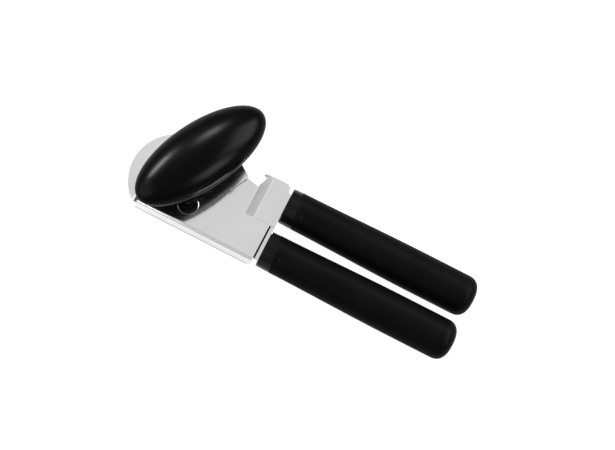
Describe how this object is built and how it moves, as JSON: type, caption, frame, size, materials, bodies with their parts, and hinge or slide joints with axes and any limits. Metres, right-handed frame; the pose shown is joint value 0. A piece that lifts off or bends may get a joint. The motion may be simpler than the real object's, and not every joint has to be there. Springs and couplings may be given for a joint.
{
  "type": "manual can opener",
  "caption": "Handheld can opener: two stamped plates on an eccentric bush, oval turning knob, serrated feed wheel, round cutter, cap-lifting hook and soft round grips.",
  "frame": {"origin": "the nip, midway between the feed wheel's rim and the cutting wheel's edge, on the sliding plane at the front plate's back face", "axes": "+X along the handles towards the grip ends, +Y towards the cap lifter's side, +Z out of the front plate towards the knob"},
  "size_m": [0.178, 0.069, 0.0416],
  "materials": {
    "stainless_plate": "satin stamped stainless sheet",
    "hardened_steel": "ground hardened steel",
    "turned_steel": "turned bright steel",
    "washer_plastic": "natural nylon",
    "hard_plastic": "glossy black moulded plastic",
    "knob_skin": "smooth satin-gloss black",
    "soft_grip": "soft matte black elastomer"
  },
  "bodies": {
    "lower_handle": {"front_plate": "stainless_plate", "cutter_axle": "turned_steel", "cutter_spacer": "turned_steel", "pivot_washer": "turned_steel", "lower_core": "hard_plastic", "lower_grip": "soft_grip", "lower_tang_pin": "turned_steel"},
    "upper_handle": {"rear_plate": "stainless_plate", "eccentric_bush": "turned_steel", "upper_core": "hard_plastic", "upper_grip": "soft_grip", "upper_tang_pin": "turned_steel"},
    "knob": {"knob_shell": "knob_skin", "knob_insert": "hard_plastic", "knob_pin": "turned_steel", "drive_shaft": "turned_steel", "feed_wheel": "hardened_steel", "feed_washer": "turned_steel", "thrust_washer": "washer_plastic"},
    "cutter": {"cutting_wheel": "hardened_steel"}
  },
  "joints": [
    {"name": "handle_hinge", "type": "hinge", "parent": "lower_handle", "child": "upper_handle", "pos_m": [-0.00314, 0.01287, 0.0006], "axis": [0, 0, 1], "range_deg": [0, 70]},
    {"name": "knob_spin", "type": "hinge", "parent": "upper_handle", "child": "knob", "pos_m": [-0.00238, 0.00976, 0], "axis": [0, 0, 1], "continuous": true},
    {"name": "cutter_spin", "type": "hinge", "parent": "lower_handle", "child": "cutter", "pos_m": [0.00219, -0.00899, -0.0035], "axis": [0, 0, 1], "continuous": true}
  ]
}
